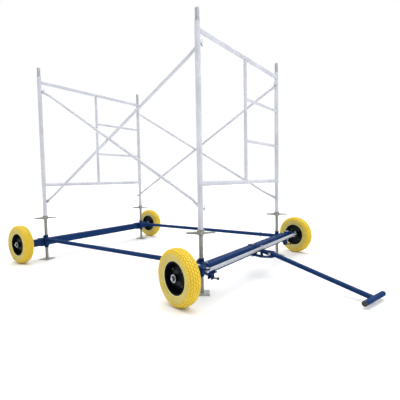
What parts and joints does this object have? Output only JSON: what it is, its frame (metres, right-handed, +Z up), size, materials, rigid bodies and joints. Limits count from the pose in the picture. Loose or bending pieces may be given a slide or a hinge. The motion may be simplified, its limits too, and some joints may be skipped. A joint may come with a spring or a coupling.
{
  "type": "mobile frame scaffold section",
  "caption": "Frame scaffold bay with cross braces and ladder ends on screw jacks, carried by a wheeled chassis with a steered front axle and a T-handle drawbar.",
  "frame": {"origin": "underside centre of the rear near base plate", "axes": "+X from the rear end frame to the front one, where the drawbar is; +Y from the near legs to the far legs; +Z up"},
  "size_m": [3.573, 2.271, 2.117],
  "materials": {
    "frame_paint": "satin",
    "blue_paint": "gloss",
    "galvanised": "satin",
    "black_steel": "satin",
    "rim_paint": "gloss",
    "black_plastic": "matte",
    "tyre": "matte"
  },
  "bodies": {
    "structure": {"rear_frame_legs": "frame_paint", "rear_frame_rails": "frame_paint", "rear_frame_stile": "frame_paint", "rear_frame_rungs": "frame_paint", "front_frame_legs": "frame_paint", "front_frame_rails": "frame_paint", "front_frame_stile": "frame_paint", "front_frame_rungs": "frame_paint", "coupling_pins": "galvanised", "brace_studs": "galvanised", "brace_lock_pins": "galvanised", "brace_rivets": "galvanised", "brace_near_rising": "frame_paint", "brace_near_falling": "frame_paint", "brace_far_rising": "frame_paint", "brace_far_falling": "frame_paint", "socket_rear_near": "blue_paint", "socket_rear_far": "blue_paint", "socket_front_near": "blue_paint", "socket_front_far": "blue_paint", "side_bar_near": "blue_paint", "axle_extension_near": "blue_paint", "side_bar_far": "blue_paint", "axle_extension_far": "blue_paint", "socket_lock_screws": "black_steel", "side_bar_pins": "galvanised", "rear_beam": "blue_paint", "rear_stub_axles": "galvanised", "rear_wheel_nuts": "galvanised", "front_beam": "blue_paint", "beam_bolts": "galvanised", "steering_pins": "galvanised"},
    "jack_nut_rear_near": {"jack_nut_rear_near": "galvanised"},
    "jack_screw_rear_near": {"jack_screw_rear_near": "galvanised"},
    "jack_nut_rear_far": {"jack_nut_rear_far": "galvanised"},
    "jack_screw_rear_far": {"jack_screw_rear_far": "galvanised"},
    "jack_nut_front_near": {"jack_nut_front_near": "galvanised"},
    "jack_screw_front_near": {"jack_screw_front_near": "galvanised"},
    "jack_nut_front_far": {"jack_nut_front_far": "galvanised"},
    "jack_screw_front_far": {"jack_screw_front_far": "galvanised"},
    "wheel_rear_near": {"tyre_rear_near": "tyre", "rim_rear_near": "rim_paint"},
    "wheel_rear_far": {"tyre_rear_far": "tyre", "rim_rear_far": "rim_paint"},
    "wheel_front_near": {"tyre_front_near": "tyre", "rim_front_near": "rim_paint"},
    "wheel_front_far": {"tyre_front_far": "tyre", "rim_front_far": "rim_paint"},
    "yoke": {"yoke": "blue_paint", "drawbar_hinge_bolt": "galvanised"},
    "tie_rod": {"tie_rod": "galvanised", "tie_rod_bolts": "galvanised"},
    "drawbar": {"drawbar": "blue_paint", "handle_caps": "black_plastic"},
    "knuckle_near": {"knuckle_near": "blue_paint", "front_wheel_nut_near": "galvanised"},
    "knuckle_far": {"knuckle_far": "blue_paint", "front_wheel_nut_far": "galvanised"},
    "clamp_knob_near": {"clamp_knob_near": "black_plastic"},
    "clamp_knob_far": {"clamp_knob_far": "black_plastic"}
  },
  "joints": [
    {"name": "jack_nut_turn_rear_near", "type": "hinge", "parent": "structure", "child": "jack_nut_rear_near", "pos_m": [0, 0, 0.467], "axis": [0, 0, 1], "range_deg": [-5400, 7200]},
    {"name": "jack_screw_slide_rear_near", "type": "slide", "parent": "structure", "child": "jack_screw_rear_near", "axis": [0, 0, 1], "range_m": [-0.1201, 0.0901]},
    {"name": "jack_nut_turn_rear_far", "type": "hinge", "parent": "structure", "child": "jack_nut_rear_far", "pos_m": [0, 1.482, 0.467], "axis": [0, 0, 1], "range_deg": [-5400, 7200]},
    {"name": "jack_screw_slide_rear_far", "type": "slide", "parent": "structure", "child": "jack_screw_rear_far", "axis": [0, 0, 1], "range_m": [-0.1201, 0.0901]},
    {"name": "jack_nut_turn_front_near", "type": "hinge", "parent": "structure", "child": "jack_nut_front_near", "pos_m": [2.134, 0, 0.467], "axis": [0, 0, 1], "range_deg": [-5400, 7200]},
    {"name": "jack_screw_slide_front_near", "type": "slide", "parent": "structure", "child": "jack_screw_front_near", "axis": [0, 0, 1], "range_m": [-0.1201, 0.0901]},
    {"name": "jack_nut_turn_front_far", "type": "hinge", "parent": "structure", "child": "jack_nut_front_far", "pos_m": [2.134, 1.482, 0.467], "axis": [0, 0, 1], "range_deg": [-5400, 7200]},
    {"name": "jack_screw_slide_front_far", "type": "slide", "parent": "structure", "child": "jack_screw_front_far", "axis": [0, 0, 1], "range_m": [-0.1201, 0.0901]},
    {"name": "wheel_spin_rear_near", "type": "hinge", "parent": "structure", "child": "wheel_rear_near", "pos_m": [-0.063, -0.254, 0.2045], "axis": [0, 1, 0], "continuous": true},
    {"name": "wheel_spin_rear_far", "type": "hinge", "parent": "structure", "child": "wheel_rear_far", "pos_m": [-0.063, 1.736, 0.2045], "axis": [0, 1, 0], "continuous": true},
    {"name": "wheel_spin_front_near", "type": "hinge", "parent": "knuckle_near", "child": "wheel_front_near", "pos_m": [2.15352, -0.30128, 0.2045], "axis": [0.2588, 0.9659, 0], "continuous": true},
    {"name": "wheel_spin_front_far", "type": "hinge", "parent": "knuckle_far", "child": "wheel_front_far", "pos_m": [2.24048, 1.78328, 0.2045], "axis": [0.2588, 0.9659, 0], "continuous": true},
    {"name": "steering", "type": "hinge", "parent": "structure", "child": "yoke", "pos_m": [2.197, 0.741, 0.163], "axis": [0, 0, 1], "range_deg": [-15, 45]},
    {"name": "kingpin_near", "type": "hinge", "parent": "structure", "child": "knuckle_near", "pos_m": [2.197, -0.139, 0.214], "axis": [0, 0, 1], "range_deg": [-15.01, 45.01]},
    {"name": "kingpin_far", "type": "hinge", "parent": "structure", "child": "knuckle_far", "pos_m": [2.197, 1.621, 0.214], "axis": [0, 0, 1], "range_deg": [-15.01, 45.01]},
    {"name": "tie_rod_pivot", "type": "hinge", "parent": "yoke", "child": "tie_rod", "pos_m": [2.30325, 0.71253, 0.2396], "axis": [0, 0, 1], "range_deg": [-45.01, 15.01]},
    {"name": "drawbar_lift", "type": "hinge", "parent": "yoke", "child": "drawbar", "pos_m": [2.4124, 0.68328, 0.208], "axis": [-0.2588, -0.9659, 0], "range_deg": [0, 95]},
    {"name": "clamp_knob_turn_near", "type": "hinge", "parent": "structure", "child": "clamp_knob_near", "pos_m": [2.234, -0.01, 0.142], "axis": [1, 0, 0], "range_deg": [0, 720]},
    {"name": "clamp_knob_turn_far", "type": "hinge", "parent": "structure", "child": "clamp_knob_far", "pos_m": [2.234, 1.492, 0.142], "axis": [1, 0, 0], "range_deg": [0, 720]}
  ],
  "couplings": [
    {"joint": "jack_screw_slide_rear_near", "follows": "jack_nut_turn_rear_near", "m_per_rad": -0.00095493},
    {"joint": "jack_screw_slide_rear_far", "follows": "jack_nut_turn_rear_far", "m_per_rad": -0.00095493},
    {"joint": "jack_screw_slide_front_near", "follows": "jack_nut_turn_front_near", "m_per_rad": -0.00095493},
    {"joint": "jack_screw_slide_front_far", "follows": "jack_nut_turn_front_far", "m_per_rad": -0.00095493},
    {"joint": "kingpin_near", "follows": "steering", "ratio": 1},
    {"joint": "kingpin_far", "follows": "steering", "ratio": 1},
    {"joint": "tie_rod_pivot", "follows": "steering", "ratio": -1}
  ]
}
